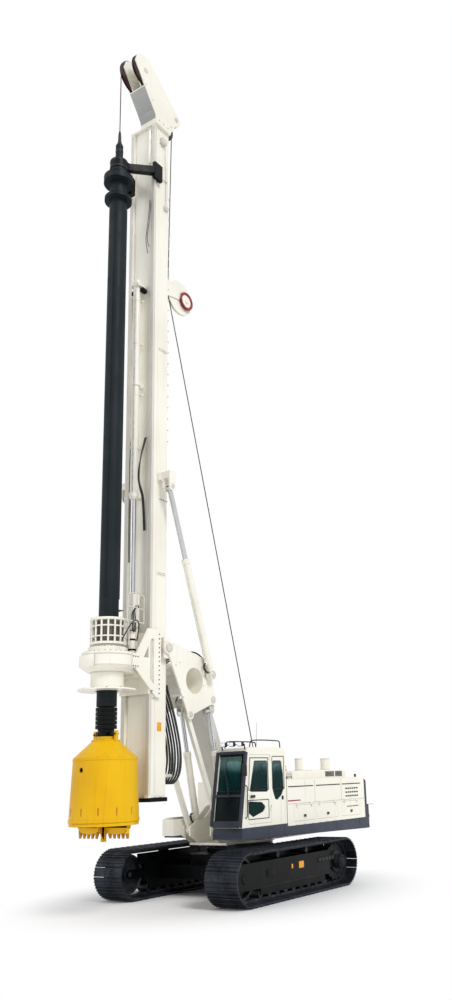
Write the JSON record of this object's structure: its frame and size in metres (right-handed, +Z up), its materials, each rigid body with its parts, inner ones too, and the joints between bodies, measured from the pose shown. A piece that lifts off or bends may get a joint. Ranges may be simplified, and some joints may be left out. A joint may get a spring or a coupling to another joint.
{
  "type": "rotary piling rig",
  "caption": "Rotary piling rig: tracked base, slewing cab and engine house, luffing and tilting mast with crowd cylinder, rotary drive, telescopic kelly bar and drilling bucket.",
  "frame": {"origin": "middle of the footprint of the whole machine, on the ground", "axes": "+X forward to the drilling tool, +Y to the left of the driver, +Z up"},
  "size_m": [11.46, 4.8, 24.762],
  "materials": {
    "cream_paint": "painted, satin",
    "slate_paint": "painted, satin",
    "dark_steel": "painted, worn",
    "kelly_paint": "painted, satin",
    "yellow_paint": "painted, satin",
    "red_paint": "painted, satin",
    "chrome": "polished",
    "wire_rope": "greased",
    "tinted_glass": "tinted, clear",
    "seat_fabric": "matt"
  },
  "bodies": {
    "undercarriage": {"car_body": "dark_steel", "slew_bearing": "dark_steel", "track_frame_left": "dark_steel", "track_frame_right": "dark_steel", "track_left": "dark_steel", "track_right": "dark_steel", "track_rollers": "dark_steel", "track_idlers": "dark_steel", "drive_sprockets": "dark_steel"},
    "upper": {"main_frame": "cream_paint", "side_skirts": "slate_paint", "counterweight": "slate_paint", "cab_shell": "cream_paint", "cab_glass": "tinted_glass", "cab_seat": "seat_fabric", "house_shell": "cream_paint", "roof_box": "cream_paint", "exhaust_stacks": "dark_steel", "engine_block": "dark_steel", "right_platform": "cream_paint", "winch_frame": "slate_paint"},
    "cab_door": {"cab_door": "cream_paint", "cab_door_glass": "tinted_glass"},
    "winch_drum": {"winch_drum": "dark_steel"},
    "boom": {"boom": "cream_paint"},
    "support_links": {"support_links": "cream_paint"},
    "boom_cylinder_barrels": {"boom_cylinder_barrels": "cream_paint"},
    "boom_cylinder_rods": {"boom_cylinder_rods": "chrome"},
    "tilt_frame": {"tilt_frame": "cream_paint"},
    "mast_cylinder_barrels": {"mast_cylinder_barrels": "cream_paint"},
    "mast_cylinder_rods": {"mast_cylinder_rods": "chrome"},
    "mast": {"mast_column": "cream_paint", "guide_rails": "cream_paint", "mast_foot": "dark_steel", "mast_head": "cream_paint", "crowd_cylinder": "cream_paint", "pulley_bracket": "cream_paint", "hoist_rope": "wire_rope"},
    "head_sheave_main": {"head_sheave_main": "red_paint"},
    "head_sheave_aux": {"head_sheave_aux": "red_paint"},
    "head_sheave_back": {"head_sheave_back": "red_paint"},
    "mast_pulley": {"mast_pulley": "red_paint"},
    "winch_rope": {"winch_rope": "wire_rope"},
    "carriage": {"drive_carriage": "cream_paint", "gearbox": "cream_paint", "drive_motors": "cream_paint", "crowd_rod": "chrome"},
    "drive_sleeve": {"drive_sleeve": "cream_paint"},
    "kelly_guide": {"kelly_guide": "dark_steel"},
    "kelly_outer": {"kelly_outer": "kelly_paint"},
    "kelly_middle": {"kelly_middle": "kelly_paint"},
    "kelly_inner": {"kelly_inner": "kelly_paint", "kelly_swivel": "kelly_paint", "bucket_shell": "yellow_paint"},
    "bucket_gate": {"bucket_gate": "yellow_paint"},
    "left_door_front": {"left_door_front": "cream_paint"},
    "left_door_middle": {"left_door_middle": "cream_paint"},
    "left_door_rear": {"left_door_rear": "cream_paint"},
    "right_door_front": {"right_door_front": "cream_paint"},
    "right_door_rear": {"right_door_rear": "cream_paint"}
  },
  "joints": [
    {"name": "slew", "type": "hinge", "parent": "undercarriage", "child": "upper", "pos_m": [-0.53, 0, 1.3], "axis": [0, 0, 1], "continuous": true},
    {"name": "cab_door_hinge", "type": "hinge", "parent": "upper", "child": "cab_door", "pos_m": [0.22, 1.64, 2.8], "axis": [0, 0, 1], "range_deg": [0, 160]},
    {"name": "left_door_front_hinge", "type": "hinge", "parent": "upper", "child": "left_door_front", "pos_m": [-1.48, 1.64, 2.28], "axis": [1, 0, 0], "range_deg": [0, 100]},
    {"name": "left_door_middle_hinge", "type": "hinge", "parent": "upper", "child": "left_door_middle", "pos_m": [-2.78, 1.64, 2.28], "axis": [1, 0, 0], "range_deg": [0, 100]},
    {"name": "left_door_rear_hinge", "type": "hinge", "parent": "upper", "child": "left_door_rear", "pos_m": [-4.215, 1.64, 2.28], "axis": [1, 0, 0], "range_deg": [0, 100]},
    {"name": "right_door_front_hinge", "type": "hinge", "parent": "upper", "child": "right_door_front", "pos_m": [-2.23, -1.64, 2.28], "axis": [-1, 0, 0], "range_deg": [0, 100]},
    {"name": "right_door_rear_hinge", "type": "hinge", "parent": "upper", "child": "right_door_rear", "pos_m": [-3.98, -1.64, 2.28], "axis": [-1, 0, 0], "range_deg": [0, 100]},
    {"name": "winch_spin", "type": "hinge", "parent": "upper", "child": "winch_drum", "pos_m": [-1.98, 0, 2.7], "axis": [0, 1, 0], "continuous": true},
    {"name": "boom_luff", "type": "hinge", "parent": "upper", "child": "boom", "pos_m": [0.14, 0, 2.18], "axis": [0, 1, 0], "range_deg": [-20, 20]},
    {"name": "link_swing", "type": "hinge", "parent": "upper", "child": "support_links", "pos_m": [1.1, 0, 1.74], "axis": [0, 1, 0], "range_deg": [-20, 20]},
    {"name": "tilt_frame_level", "type": "hinge", "parent": "boom", "child": "tilt_frame", "pos_m": [1.51, 0, 5.2], "axis": [0, 1, 0], "range_deg": [-20, 20]},
    {"name": "boom_cylinder_swing", "type": "hinge", "parent": "upper", "child": "boom_cylinder_barrels", "pos_m": [0.82, 0, 1.86], "axis": [0, 1, 0], "range_deg": [-19.47, 19.47]},
    {"name": "boom_cylinder_stroke", "type": "slide", "parent": "boom_cylinder_barrels", "child": "boom_cylinder_rods", "axis": [0.2112, 0, 0.9774], "range_m": [-0.263, 0.263]},
    {"name": "mast_tilt", "type": "hinge", "parent": "tilt_frame", "child": "mast", "pos_m": [3.34, 0, 6.45], "axis": [0, 1, 0], "range_deg": [-15, 5]},
    {"name": "mast_cylinder_swing", "type": "hinge", "parent": "tilt_frame", "child": "mast_cylinder_barrels", "pos_m": [1.74, 0, 5.85], "axis": [0, 1, 0], "range_deg": [-12.62, 4.54]},
    {"name": "mast_cylinder_stroke", "type": "slide", "parent": "mast_cylinder_barrels", "child": "mast_cylinder_rods", "axis": [0.332, 0, 0.9433], "range_m": [-0.373, 0.131]},
    {"name": "head_sheave_main_spin", "type": "hinge", "parent": "mast", "child": "head_sheave_main", "pos_m": [4.4, 0, 24.24], "axis": [0, 1, 0], "continuous": true},
    {"name": "head_sheave_aux_spin", "type": "hinge", "parent": "mast", "child": "head_sheave_aux", "pos_m": [4.4, 0.47, 24.24], "axis": [0, 1, 0], "continuous": true},
    {"name": "head_sheave_back_spin", "type": "hinge", "parent": "mast", "child": "head_sheave_back", "pos_m": [2.98, 0, 23.45], "axis": [0, 1, 0], "continuous": true},
    {"name": "mast_pulley_turn", "type": "hinge", "parent": "mast", "child": "mast_pulley", "pos_m": [2.19, 0, 17.62], "axis": [0, 1, 0], "range_deg": [-2.08, 5.24]},
    {"name": "winch_rope_swing", "type": "hinge", "parent": "mast_pulley", "child": "winch_rope", "pos_m": [2.19, 0, 17.62], "axis": [0, 1, 0], "range_deg": [-4.71, 4.71]},
    {"name": "crowd", "type": "slide", "parent": "mast", "child": "carriage", "axis": [0, 0, 1], "range_m": [-2.4, 1.2]},
    {"name": "kelly_hoist", "type": "slide", "parent": "carriage", "child": "kelly_guide", "axis": [0, 0, 1], "range_m": [-12.2, 0.3]},
    {"name": "kelly_spin", "type": "hinge", "parent": "kelly_guide", "child": "kelly_outer", "pos_m": [4.9, 0, 12], "axis": [0, 0, 1], "continuous": true},
    {"name": "drive_spin", "type": "hinge", "parent": "carriage", "child": "drive_sleeve", "pos_m": [4.9, 0, 6], "axis": [0, 0, 1], "continuous": true},
    {"name": "kelly_middle_drop", "type": "slide", "parent": "kelly_outer", "child": "kelly_middle", "axis": [0, 0, 1], "range_m": [-13, 0]},
    {"name": "kelly_inner_drop", "type": "slide", "parent": "kelly_middle", "child": "kelly_inner", "axis": [0, 0, 1], "range_m": [-13, 0]},
    {"name": "bucket_gate_hinge", "type": "hinge", "parent": "kelly_inner", "child": "bucket_gate", "pos_m": [4.01, 0, 2.14], "axis": [0, 1, 0], "range_deg": [0, 85]}
  ],
  "couplings": [
    {"joint": "link_swing", "follows": "boom_luff", "ratio": 1},
    {"joint": "tilt_frame_level", "follows": "boom_luff", "ratio": -1},
    {"joint": "boom_cylinder_swing", "follows": "boom_luff", "ratio": 0.94831},
    {"joint": "boom_cylinder_stroke", "follows": "boom_luff", "m_per_rad": -0.7243},
    {"joint": "mast_cylinder_swing", "follows": "mast_tilt", "ratio": 0.80819},
    {"joint": "mast_cylinder_stroke", "follows": "mast_tilt", "m_per_rad": 1.3874},
    {"joint": "mast_pulley_turn", "follows": "mast_tilt", "ratio": -0.31568},
    {"joint": "winch_rope_swing", "follows": "boom_luff", "ratio": 0.21029},
    {"joint": "drive_spin", "follows": "kelly_spin", "ratio": 1},
    {"joint": "kelly_inner_drop", "follows": "kelly_middle_drop", "ratio": 1}
  ]
}
